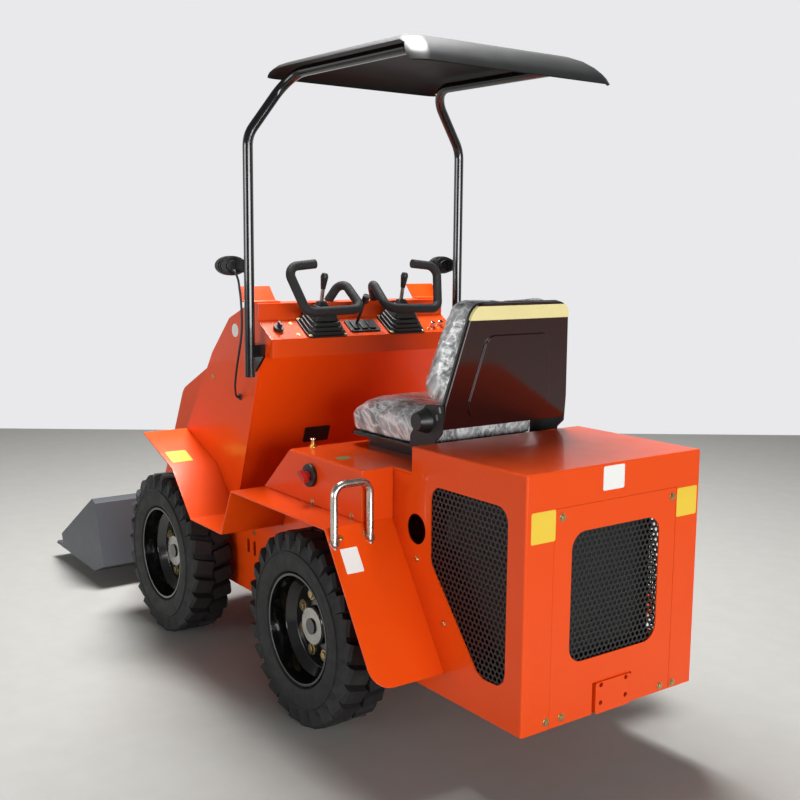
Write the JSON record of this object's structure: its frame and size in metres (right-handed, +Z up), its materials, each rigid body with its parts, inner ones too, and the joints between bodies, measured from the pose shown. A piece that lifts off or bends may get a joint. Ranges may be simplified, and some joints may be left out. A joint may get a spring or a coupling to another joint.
{
  "type": "ride-on mini skid steer loader",
  "caption": "Compact ride-on loader with a rear engine box, seat, control tower, canopy on two posts, solid tyres, lift arms and a tilting front bucket.",
  "frame": {"origin": "on the floor, under the middle of the machine's box", "axes": "+X forward towards the bucket, +Y to the left, +Z up"},
  "size_m": [2.914, 1.074, 1.9808],
  "materials": {
    "orange_paint": "gloss orange powder coat",
    "black_paint": "gloss black paint",
    "bucket_grey": "satin dark grey paint",
    "tyre_rubber": "moulded black rubber",
    "rim_black": "gloss black enamel",
    "canopy_plastic": "gloss black moulded shell",
    "black_plastic": "matt black moulding",
    "foam_grip": "closed-cell foam sleeve",
    "red_plastic": "gloss red key",
    "seat_vinyl": "black vinyl",
    "satin_steel": "satin steel tube",
    "chrome_rod": "hard chrome",
    "mesh_black": "black perforated sheet",
    "engine_iron": "dark painted casting",
    "lamp_lens": "clear lens",
    "lead_rubber": "black sheath"
  },
  "bodies": {
    "machine": {"chassis_sides": "orange_paint", "belly_plate": "orange_paint", "cross_members": "orange_paint", "lift_feet": "orange_paint", "wheel_motors": "rim_black", "engine_block": "engine_iron", "engine_hood": "orange_paint", "rear_panel": "orange_paint", "rear_grille": "mesh_black", "side_grilles": "mesh_black", "hitch_plate": "orange_paint", "seat_deck": "orange_paint", "footwell_floor": "orange_paint", "fender_left": "orange_paint", "fender_right": "orange_paint", "side_box_left": "orange_paint", "side_box_right": "orange_paint", "isolator_body": "black_plastic", "isolator_key": "red_plastic", "grab_handles": "satin_steel", "tower_sides": "orange_paint", "tower_fascia": "orange_paint", "nose_cover": "orange_paint", "tower_webs": "orange_paint", "arm_shaft": "satin_steel", "pinch_guards": "orange_paint", "control_boots": "black_plastic", "joysticks": "black_plastic", "grip_loops": "foam_grip", "dash_switches": "black_plastic", "canopy_roof": "canopy_plastic", "canopy_posts": "black_paint", "work_lamps": "black_plastic", "lamp_lenses": "lamp_lens", "lamp_leads": "lead_rubber", "seat_rails": "black_paint", "seat_pan": "black_paint", "seat_cushion": "seat_vinyl", "backrest_shell": "black_paint", "backrest_cushion": "seat_vinyl", "seat_hinges": "black_plastic"},
    "lift_arms": {"lift_arms": "orange_paint"},
    "lift_barrels": {"lift_barrels": "black_paint"},
    "lift_rods": {"lift_rods": "chrome_rod"},
    "tilt_barrel": {"tilt_barrel": "black_paint"},
    "tilt_rod": {"tilt_rod": "chrome_rod"},
    "bucket": {"bucket": "bucket_grey"},
    "wheel_front_left": {"tyre_front_left": "tyre_rubber", "rim_front_left": "rim_black"},
    "wheel_front_right": {"tyre_front_right": "tyre_rubber", "rim_front_right": "rim_black"},
    "wheel_rear_left": {"tyre_rear_left": "tyre_rubber", "rim_rear_left": "rim_black"},
    "wheel_rear_right": {"tyre_rear_right": "tyre_rubber", "rim_rear_right": "rim_black"}
  },
  "joints": [
    {"name": "front_left_wheel_spin", "type": "hinge", "parent": "machine", "child": "wheel_front_left", "pos_m": [0.307, 0.409, 0.29], "axis": [0, 1, 0], "continuous": true},
    {"name": "front_right_wheel_spin", "type": "hinge", "parent": "machine", "child": "wheel_front_right", "pos_m": [0.307, -0.409, 0.29], "axis": [0, 1, 0], "continuous": true},
    {"name": "rear_left_wheel_spin", "type": "hinge", "parent": "machine", "child": "wheel_rear_left", "pos_m": [-0.661, 0.409, 0.29], "axis": [0, 1, 0], "continuous": true},
    {"name": "rear_right_wheel_spin", "type": "hinge", "parent": "machine", "child": "wheel_rear_right", "pos_m": [-0.661, -0.409, 0.29], "axis": [0, 1, 0], "continuous": true},
    {"name": "arm_lift", "type": "hinge", "parent": "machine", "child": "lift_arms", "pos_m": [-0.121, 0, 1.09], "axis": [0, -1, 0], "range_deg": [-1.5, 60]},
    {"name": "lift_barrel_swing", "type": "hinge", "parent": "machine", "child": "lift_barrels", "pos_m": [0.189, 0, 0.33], "axis": [0, -1, 0], "range_deg": [-13.95, 0.45]},
    {"name": "lift_rod_slide", "type": "slide", "parent": "lift_barrels", "child": "lift_rods", "axis": [-0.2, 0, 0.9798], "range_m": [-0.00868, 0.30828]},
    {"name": "bucket_tilt", "type": "hinge", "parent": "lift_arms", "child": "bucket", "pos_m": [0.839, 0, 0.14], "axis": [0, 1, 0], "range_deg": [-20, 95]},
    {"name": "tilt_barrel_swing", "type": "hinge", "parent": "lift_arms", "child": "tilt_barrel", "pos_m": [0.399, 0, 0.68], "axis": [0, 1, 0], "range_deg": [-0.52, 2.09]},
    {"name": "tilt_rod_slide", "type": "slide", "parent": "tilt_barrel", "child": "tilt_rod", "axis": [0.7267, 0, -0.687], "range_m": [-0.03636, 0.16895]}
  ],
  "couplings": [
    {"joint": "lift_barrel_swing", "follows": "arm_lift", "ratio": -0.22635},
    {"joint": "lift_rod_slide", "follows": "arm_lift", "m_per_rad": 0.29343},
    {"joint": "tilt_barrel_swing", "follows": "bucket_tilt", "ratio": 0.020551},
    {"joint": "tilt_rod_slide", "follows": "bucket_tilt", "m_per_rad": 0.10129}
  ]
}
